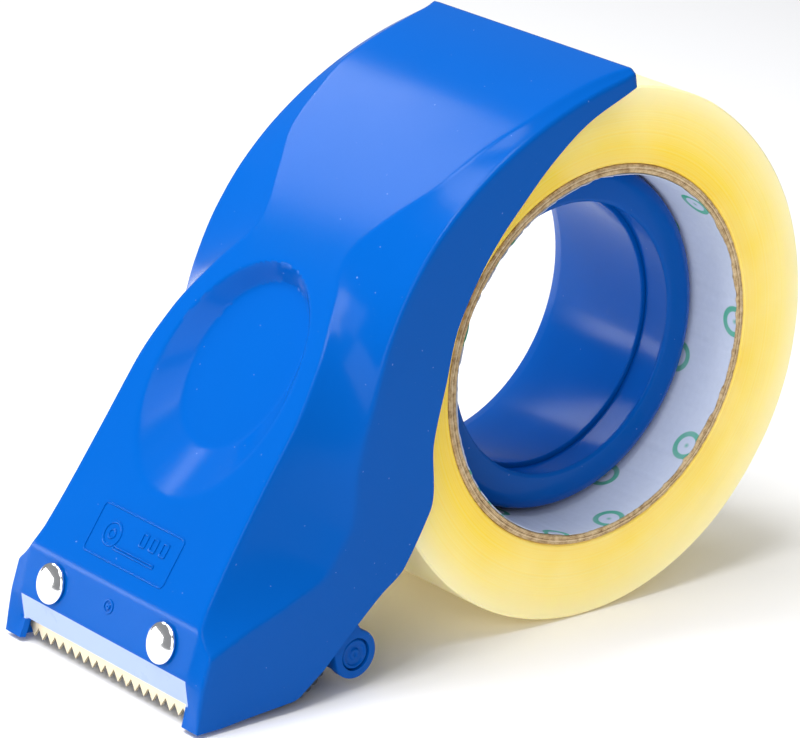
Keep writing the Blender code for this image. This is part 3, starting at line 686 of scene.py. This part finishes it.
def cheek(look):
    """Flat plate on the closed side, from inside the far wall round to a ring about the boss."""
    outline = []
    for t in np.linspace(0.1, 0.85, 60):
        point, _, out = cover_at(float(t))
        point = point - out * (flowing(t, 2) + flowing(t, 3)) / 2
        outline.append((point.x, point.z))
    centre = HUB - ROLL_AXIS
    for angle in np.radians(np.linspace(-130.0, 78.0, 120)):
        outline.append((centre.x + CHEEK_RADIUS * math.cos(angle), centre.z + CHEEK_RADIUS * math.sin(angle)))
    plate = slab("cheek_plate", outline, BOSS_FACE - WALL, BOSS_FACE)
    drill(plate, HUB + Vector((0.0, BOSS_FACE, 0.0)), MOUTH_RADIUS + 0.25 * MM, 20 * MM)
    settle(plate, BODY, look, "blue_moulding")


ROLLER_AXIS = (Vector(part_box("guide_roller")[0]) + Vector(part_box("guide_roller")[1])) / 2
LUG_FACE = HALF_WIDTH - 2.0 * MM
LUG_WALL = 2.4 * MM
LUG_RADIUS = 5.1 * MM
ROLLER_RADIUS, ROLLER_BORE = 4.7 * MM, 2.0 * MM
PIN_RADIUS, PIN_HEAD = 1.7 * MM, 3.1 * MM
SEAT_RADIUS = 3.4 * MM


def lugs(look):
    """Two tabs under the nose that carry the guide roller's axle; the near one is counterbored."""
    place = ROLLER_AXIS - ROLL_AXIS
    arc = np.radians(np.linspace(-150.0, 75.0, 56))
    outline = [(place.x + LUG_RADIUS * math.cos(a), place.z + LUG_RADIUS * math.sin(a)) for a in arc]
    outline.append((outline[-1][0] - 6.0 * MM, outline[-1][1] + 8.0 * MM))
    outline.append((outline[0][0] - 3.0 * MM, place.z + 8.0 * MM))
    for name, side in (("lug_near", -1), ("lug_far", 1)):
        low, high = sorted((side * LUG_FACE, side * (LUG_FACE - LUG_WALL)))
        tab = slab(name, outline, low, high, 0.35 * MM)
        drill(tab, ROLLER_AXIS, ROLLER_BORE, 80 * MM)
        if side < 0:
            mouth = ROLLER_AXIS - Vector((0.0, LUG_FACE + 1.8 * MM, 0.0))
            drill(tab, mouth, SEAT_RADIUS, 6.0 * MM)
        settle(tab, BODY, look, "blue_moulding")


def ears(look):
    """Solid feet inside the nose's front corners, one on each side of the blade."""
    for name, side in (("ear_near", -1), ("ear_far", 1)):
        low, high = sorted((side * (NOSE_HALF + 0.05 * MM), side * (HALF_WIDTH + NOSE_FLARE - 0.3 * MM)))
        front, foot, head = 0.6 * MM - NOSE_REACH, FLOOR + EAR_HEIGHT, LIP_FOOT.z + 1.2 * MM
        rear = front + 5.8 * MM
        outline = [(front, foot), (rear, foot), (rear, head), (front + 0.8 * MM, head)]
        settle(slab(name, outline, low, high, 0.4 * MM), BODY, look, "blue_moulding")


PAD_FRONT, PAD_BELLY, PAD_REAR = (
    Vector((x * MM, 0.0, FLOOR + z * MM)) for x, z in ((-90.0, 0.7), (-77.0, -1.7), (-72.0, 5.5))
)
PAD_THICKNESS = 2.6 * MM
PAD_RIBS = 8
RIB_DEPTH = 0.8 * MM


def pad_line(share, lift):
    """Point on the pad's curved underside, share of the way to its rear, raised by lift."""
    point = PAD_FRONT.lerp(PAD_BELLY, share).lerp(PAD_BELLY.lerp(PAD_REAR, share), share)
    run = (PAD_BELLY - PAD_FRONT).lerp(PAD_REAR - PAD_BELLY, share).normalized()
    return point.x - run.z * lift, point.z + run.x * lift


def pad(blue, black):
    """Ribbed rubber pad and the web of the moulding that it is glued to."""
    low = PAD_THICKNESS + 0.3 * MM
    seat = [pad_line(s, low) for s in np.linspace(-0.06, 1.06, 20)]
    seat += [pad_line(s, low + 2.0 * MM) for s in np.linspace(1.06, -0.06, 20)]
    settle(slab("pad_seat", seat, -INSIDE - 1.0 * MM, INSIDE + 1.0 * MM), BODY, blue, "blue_moulding")
    under = []
    for s in np.linspace(0, 1, 97):
        wave = abs(math.sin(PAD_RIBS * math.pi * s)) ** 0.7
        under.append(pad_line(s, RIB_DEPTH * (1 - wave)))
    under += [pad_line(s, PAD_THICKNESS) for s in np.linspace(1, 0, 24)]
    end = INSIDE - 0.5 * MM
    settle(slab("ribbed_pad", under, -end, end, 0.0), BODY, black, "black_rubber", "pressure_pad")


def on_panel(piece, point, out):
    """Turn a piece built flat about the origin so that it lies on the cover at a point."""
    along = Vector((-out.z, 0.0, out.x))
    turn = Matrix(((0.0, 1.0, 0.0), along, out)).transposed().to_4x4()
    piece.matrix_world = Matrix.Translation(ROLL_AXIS + point) @ turn


def raised_mark(name, width, length, corner, line, point, out, look, height=0.36 * MM):
    """Narrow raised border of a rounded rectangle, half sunk in the cover."""
    fresh(name)
    bpy.ops.mesh.primitive_plane_add(size=1.0)
    piece = named(name)
    piece.scale = (width, length, 1.0)
    bpy.ops.object.transform_apply(location=True, rotation=True, scale=True)
    edit(piece)
    bpy.ops.mesh.bevel(offset=corner, offset_type="OFFSET", segments=6, affect="VERTICES")
    bpy.ops.mesh.select_all(action="SELECT")
    bpy.ops.mesh.inset(thickness=line)
    bpy.ops.mesh.delete(type="FACE")
    done()
    thick = piece.modifiers.new("raised", "SOLIDIFY")
    thick.thickness = height
    thick.offset = 0.0
    rounding = piece.modifiers.new("soft", "BEVEL")
    rounding.width = min(0.12 * MM, line / 4)
    rounding.segments = 2
    on_panel(piece, point, out)
    settle(piece, BODY, look, "blue_moulding")


def marks(look):
    """Raised label border with a plain roll-and-strip sign in it, and the moulding's gate mark."""
    point, along, out = cover_at(0.9565)
    across = Vector((0.0, 1.0, 0.0))
    middle = point + across * 0.3 * MM
    raised_mark("label_border", 26.0 * MM, 10.8 * MM, 1.2 * MM, 0.35 * MM, middle, out, look)
    raised_mark("label_roll", 5.4 * MM, 5.4 * MM, 2.6 * MM, 0.55 * MM, middle + across * 7.0 * MM, out, look)
    raised_mark("label_core", 2.2 * MM, 2.2 * MM, 1.05 * MM, 0.35 * MM, middle + across * 7.0 * MM, out, look)
    strip = middle - across * 1.5 * MM + along * 2.3 * MM
    raised_mark("label_strip", 13.0 * MM, 0.9 * MM, 0.2 * MM, 0.32 * MM, strip, out, look)
    for k in range(3):
        bar = middle - across * (8.6 - 3.2 * k) * MM - along * 1.6 * MM
        raised_mark(f"label_bar_{k}", 2.0 * MM, 3.0 * MM, 0.4 * MM, 0.4 * MM, bar, out, look)
    down = (PANEL_FOOT - BEND).normalized()
    gate = BEND.lerp(PANEL_FOOT, 0.42)
    panel_out = Vector((down.z, 0.0, -down.x))
    raised_mark("gate_rim", 3.0 * MM, 3.0 * MM, 1.45 * MM, 0.4 * MM, gate, panel_out, look, 0.4 * MM)
    raised_mark("gate_point", 1.2 * MM, 1.2 * MM, 0.55 * MM, 0.5 * MM, gate, panel_out, look, 0.6 * MM)


# --- turned pieces --------------------------------------------------------------------------------
WHEEL_FRONT, WHEEL_BACK = -13.0 * MM, 26.4 * MM
RIM_RADIUS = 37.25 * MM
BARREL_RADIUS = RIM_RADIUS - 0.7 * MM
FLANGE_RADIUS, FLANGE_LENGTH = 41.5 * MM, 1.8 * MM
LIP_BORE, SHOULDER_BORE = 28.7 * MM, 29.8 * MM
SHOULDER_END = -5.0 * MM
RIB_COUNT = 8
RIB_SIZE = (3.0 * MM, 31.6 * MM, 1.6 * MM)
RIB_MIDDLE = 8.8 * MM


def wheel(look):
    """Wheel that carries the core: rounded rim, stepped bore, back flange and eight ribs."""

    def bore(y):
        return boss_radius(y) + BOSS_WALL + 0.4 * MM

    groove = boss_radius(-2.2 * MM) + BOSS_WALL + 1.2 * MM
    profile = round_corners([
        (FLANGE_RADIUS, WHEEL_BACK),
        (FLANGE_RADIUS, WHEEL_BACK - FLANGE_LENGTH),
        (BARREL_RADIUS, WHEEL_BACK - FLANGE_LENGTH),
        (BARREL_RADIUS, WHEEL_FRONT + 6.4 * MM),
        (RIM_RADIUS, WHEEL_FRONT + 6.0 * MM),
        (RIM_RADIUS, WHEEL_FRONT + 3.2 * MM),
        (RIM_RADIUS - 0.9 * MM, WHEEL_FRONT + 1.2 * MM),
        (RIM_RADIUS - 2.8 * MM, WHEEL_FRONT + 0.1 * MM),
        (RIM_RADIUS - 5.0 * MM, WHEEL_FRONT),
        (29.5 * MM, WHEEL_FRONT),
        (LIP_BORE, WHEEL_FRONT + 0.5 * MM),
        (SHOULDER_BORE, WHEEL_FRONT + 1.3 * MM),
        (SHOULDER_BORE, SHOULDER_END - 0.3 * MM),
        (SHOULDER_BORE, SHOULDER_END),
        (SHOULDER_BORE + 0.3 * MM, SHOULDER_END),
        (groove, SHOULDER_END),
        (groove, -1.1 * MM),
        (bore(-0.4 * MM), -0.4 * MM),
        (bore(WHEEL_BACK), WHEEL_BACK),
    ], 0.7 * MM)
    piece = spun("roll_wheel", profile, HUB, 176)
    for k in range(RIB_COUNT):
        fresh(f"wheel_rib_{k}")
        top = HUB + Vector((0.0, RIB_MIDDLE, RIM_RADIUS - 1.0 * MM))
        bpy.ops.mesh.primitive_cube_add(size=1.0, location=top)
        rib = named(f"wheel_rib_{k}")
        rib.scale = RIB_SIZE
        bpy.ops.object.transform_apply(location=True, rotation=True, scale=True)
        edit(rib)
        bpy.ops.mesh.bevel(offset=0.35 * MM, segments=2, affect="EDGES")
        bpy.ops.mesh.select_all(action="SELECT")
        turn = math.tau * (k + 0.5) / RIB_COUNT
        bpy.ops.transform.rotate(value=turn, orient_axis="Y", center_override=HUB)
        done()
        rib.select_set(True)
        piece.select_set(True)
        bpy.context.view_layer.objects.active = piece
        bpy.ops.object.join()
    settle(piece, WHEEL, look, "blue_wheel", "tape_wheel")


def fine_ring(outer, inner, low, high, edge, rings):
    """Closed (radius, y) outline of a ring whose near and far faces carry several rings of points."""
    across = np.linspace(0.0, 1.0, rings)
    near = [(outer - edge + (inner - outer + 2 * edge) * s, low) for s in across]
    far = [(inner + edge + (outer - inner - 2 * edge) * s, high) for s in across]
    return [(outer, high - edge), (outer, low + edge), *near, (inner, low + edge), (inner, high - edge), *far]


def wobble(piece, centre, change):
    """Move each point by a small (radial, y) amount given its radius, angle and y."""
    for point in piece.data.vertices:
        x, z = point.co.x - centre.x, point.co.z - centre.z
        radius, angle = math.hypot(x, z), math.atan2(z, x)
        grow, shift = change(radius, angle, point.co.y)
        point.co.x = centre.x + (radius + grow) * math.cos(angle)
        point.co.z = centre.z + (radius + grow) * math.sin(angle)
        point.co.y += shift
    piece.data.update()


def uneven(angle, y, fineness, seed):
    """Smooth value from -1 to 1 that closes up round a full turn."""
    place = Vector((math.cos(angle) * fineness, math.sin(angle) * fineness, y / MM * 0.12 + seed))
    return noise.noise(place)


def roll(tape_look, board_look, paper_look):
    """Wound tape with a slightly uneven outside, its board core with ragged ends, and the lining."""
    core_out, core_in = 40.0 * MM, 38.2 * MM

    def winding(radius, angle, y):
        rim = max(0.0, (radius - 44.0 * MM) / (ROLL_RADIUS - 44.0 * MM))
        swell = 0.35 * MM * min(0.0, uneven(angle, 0.0, 2.2, 3.0))
        swell += 0.12 * MM * min(0.0, uneven(angle, y, 5.0, 8.0))
        dish = 0.12 * MM * uneven(angle, radius * 3, 3.0, 5.0) * (1 if y < 0 else -1)
        return rim * swell, dish * (rim > 0)

    def ragged(radius, angle, y):
        end = 1 if abs(y) > TAPE_HALF - 0.3 * MM else 0
        rough = abs(uneven(angle, radius * 90, 11.0, 1.0)) * 0.3 * MM
        rough += max(0.0, uneven(angle, radius * 60, 43.0, 4.0)) * 0.22 * MM
        return 0.0, end * (rough if y < 0 else -rough)

    def torn(radius, angle, y):
        end = abs(y) > TAPE_HALF - 0.3 * MM
        tear = max(0.0, uneven(angle, 0.0, 6.0, 6.0)) * 1.3 * MM
        tear += max(0.0, uneven(angle, 0.0, 23.0, 9.0)) * 0.6 * MM
        tear += abs(uneven(angle, 0.0, 61.0, 2.0)) * 0.12 * MM
        return 0.0, end * (tear if y < 0 else -tear)

    tape = spun("tape_windings", fine_ring(
        ROLL_RADIUS, core_out + 0.15 * MM, -TAPE_HALF, TAPE_HALF, 0.4 * MM, 12), ROLL_AXIS, 256)
    wobble(tape, ROLL_AXIS, winding)
    settle(tape, ROLL, tape_look, "wound_tape", "tape_winding")
    core = spun("board_core", fine_ring(
        core_out, core_in, -TAPE_HALF, TAPE_HALF, 0.15 * MM, 6), ROLL_AXIS, 512)
    wobble(core, ROLL_AXIS, ragged)
    settle(core, ROLL, board_look, "cardboard", "tape_core", angle=60.0)
    paper = spun("core_lining", fine_ring(
        core_in - 0.15 * MM, 37.85 * MM, -TAPE_HALF, TAPE_HALF, 0.05 * MM, 3), ROLL_AXIS, 512)
    wobble(paper, ROLL_AXIS, torn)
    settle(paper, ROLL, paper_look, "lining_paper", "core_liner", angle=60.0)


def roller(look, pin_look):
    end = LUG_FACE - LUG_WALL - 0.5 * MM
    profile = round_corners([
        (ROLLER_RADIUS, end), (ROLLER_RADIUS, -end), (ROLLER_BORE, -end), (ROLLER_BORE, end),
    ], 0.6 * MM)
    settle(spun("tape_roller", profile, ROLLER_AXIS, 72), ROLLER, look, "roller_plastic", "guide_roller")
    back, face, far = LUG_FACE - 0.9 * MM, LUG_FACE - 0.2 * MM, LUG_FACE + 0.3 * MM
    middle = 0.01 * MM
    profile = [
        (middle, far), (1.3 * MM, far), (PIN_RADIUS, far - 0.4 * MM), (PIN_RADIUS, -back),
        (PIN_HEAD, -back), (PIN_HEAD, 0.25 * MM - face), (2.85 * MM, -face), (2.45 * MM, -face),
        (2.25 * MM, 0.35 * MM - face),
        (1.25 * MM, 0.35 * MM - face), (1.05 * MM, -face), (0.5 * MM, -face), (0.35 * MM, 0.2 * MM - face),
        (middle, 0.2 * MM - face),
    ]
    pin = spun("roller_pin", round_corners(profile, 0.12 * MM, 2), ROLLER_AXIS, 72)
    settle(pin, BODY, pin_look, "pin_plastic", "roller_axle")


HEAD_RADIUS = 4.15 * MM
SHANK_RADIUS, CLOSED_RADIUS = 1.6 * MM, 2.6 * MM
RIVET_HALF_SPACING, RIVET_SHARE = 18.1 * MM, 0.55


def rivets(look):
    """Two domed rivets through the riveted panel and the blade's tang."""
    down = (PANEL_FOOT - BEND).normalized()
    out = Vector((down.z, 0.0, -down.x))
    dome = [
        (HEAD_RADIUS * math.sin(a) + 0.01 * MM, 0.3 * MM + 1.5 * MM * (0.22 + 0.78 * math.cos(a)))
        for a in np.linspace(0.0, math.pi / 2, 14)
    ]
    tail = WALL + 1.7 * MM + 0.3 * MM
    shank = [
        (HEAD_RADIUS, 0.42 * MM), (4.0 * MM, 0.3 * MM), (SHANK_RADIUS, 0.3 * MM), (SHANK_RADIUS, -tail),
        (CLOSED_RADIUS, -tail), (2.2 * MM, -tail - 0.9 * MM), (0.01 * MM, -tail - 0.9 * MM),
    ]
    for name, side in (("near", -1), ("far", 1)):
        piece = spun(f"rivet_dome_{name}", dome + shank, Vector(), 72)
        point = BEND.lerp(PANEL_FOOT, RIVET_SHARE) + Vector((0.0, side * RIVET_HALF_SPACING, 0.0))
        turn = out.to_track_quat("Y", "Z").to_matrix().to_4x4()
        piece.matrix_world = Matrix.Translation(ROLL_AXIS + point) @ turn
        settle(piece, BODY, look, "bright_rivet", f"rivet_{name}")


# --- studio ---------------------------------------------------------------------------------------
def camera():
    azimuth, elevation, roll = math.radians(-40.87), math.radians(18.85), math.radians(3.16)
    right = Vector((math.cos(azimuth), math.sin(azimuth), 0.0))
    back = Vector((
        math.sin(azimuth) * math.cos(elevation), -math.cos(azimuth) * math.cos(elevation), math.sin(elevation)
    ))
    up = back.cross(right)
    tilted_right = right * math.cos(roll) + up * math.sin(roll)
    tilted_up = up * math.cos(roll) - right * math.sin(roll)
    data = bpy.data.cameras.new("camera")
    data.lens = 202.3
    data.clip_end = 10.0
    item = bpy.data.objects.new("camera", data)
    bpy.context.scene.collection.objects.link(item)
    turn = Matrix((tilted_right, tilted_up, back)).transposed().to_4x4()
    place = ROLL_AXIS + tilted_right * -25.16 * MM + tilted_up * -9.29 * MM + back * 925.9 * MM
    item.matrix_world = Matrix.Translation(place) @ turn
    bpy.context.scene.camera = item


def softbox(name, place, target, size, power, colour=(1.0, 1.0, 1.0)):
    data = bpy.data.lights.new(name, "AREA")
    data.shape = "RECTANGLE"
    data.size, data.size_y = size
    data.energy = power
    data.color = colour
    item = bpy.data.objects.new(name, data)
    item.location = place
    item.rotation_euler = (Vector(target) - Vector(place)).to_track_quat("-Z", "Y").to_euler()
    bpy.context.scene.collection.objects.link(item)


def studio():
    world = bpy.data.worlds.new("studio")
    world.use_nodes = True
    world.node_tree.nodes["Background"].inputs["Color"].default_value = (0.95, 0.97, 1.0, 1.0)
    world.node_tree.nodes["Background"].inputs["Strength"].default_value = 0.3
    bpy.context.scene.world = world
    bpy.context.scene.view_settings.view_transform = "Standard"
    for name, direction, distance, size, power in (
        ("key", (-0.35, -0.05, 0.93), 1.0, (0.55, 0.55), 8.6),
        ("back sheen", (-0.13, 0.72, 0.63), 0.9, (0.47, 0.24), 2.4),
        ("top sheen", (-0.32, 0.42, 0.86), 0.9, (0.26, 0.20), 1.6),
        ("left sheen", (-0.66, -0.03, 0.75), 0.9, (0.34, 0.34), 1.1),
        ("fill", (-0.80, -0.55, 0.35), 1.3, (0.8, 0.8), 6.0),
        ("hub light", (-0.70, 0.71, 0.04), 0.7, (0.4, 0.10), 1.3),
    ):
        softbox(name, ROLL_AXIS + Vector(direction).normalized() * distance, ROLL_AXIS, size, power)
    fresh("floor")
    bpy.ops.mesh.primitive_plane_add(size=6.0, location=(0.0, 0.0, -0.2 * MM))
    floor = named("floor")
    look = Look("pale floor")
    look.colour(look.mix(look.noise(3.0), (0.93, 0.93, 0.94), (0.96, 0.96, 0.97)))
    look.set(Roughness=0.6)
    floor.data.materials.append(look.material)


# --- assembly -------------------------------------------------------------------------------------
camera()
studio()
# This material carries the pale painted reflection on the nose's front lip.
BLUE = blue_plastic("blue moulding", (0.0, 0.091, 0.425), (0.0, 0.08, 0.37), lip_reflection=True)
WHEEL_BLUE = blue_plastic("blue wheel", (0.0, 0.085, 0.40), (0.0, 0.072, 0.35))
RUBBER = rubber()
cover(BLUE)
cheek(BLUE)
boss(BLUE)
lugs(BLUE)
ears(BLUE)
marks(BLUE)
pad(BLUE, RUBBER)
wheel(WHEEL_BLUE)
roll(tape_film(), board(), lining())
roller(WHEEL_BLUE, WHEEL_BLUE)
rivets(metal("bright rivet", (0.86, 0.86, 0.88), (0.97, 0.97, 0.97), 0.12))
WASHER_STEEL = metal("washer steel", (0.4, 0.4, 0.42), (0.6, 0.6, 0.62), 0.35)
BLADE_METAL = metal("blade metal", (0.66, 0.55, 0.36), (0.92, 0.84, 0.64), 0.5, (1.0, 0.1, 1.0))
for node, look in (
    ("blade", BLADE_METAL), ("rivet_washer_near", WASHER_STEEL), ("rivet_washer_far", WASHER_STEEL),
):
    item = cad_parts[node]
    item.data.materials.clear()
    item.data.materials.append(look)
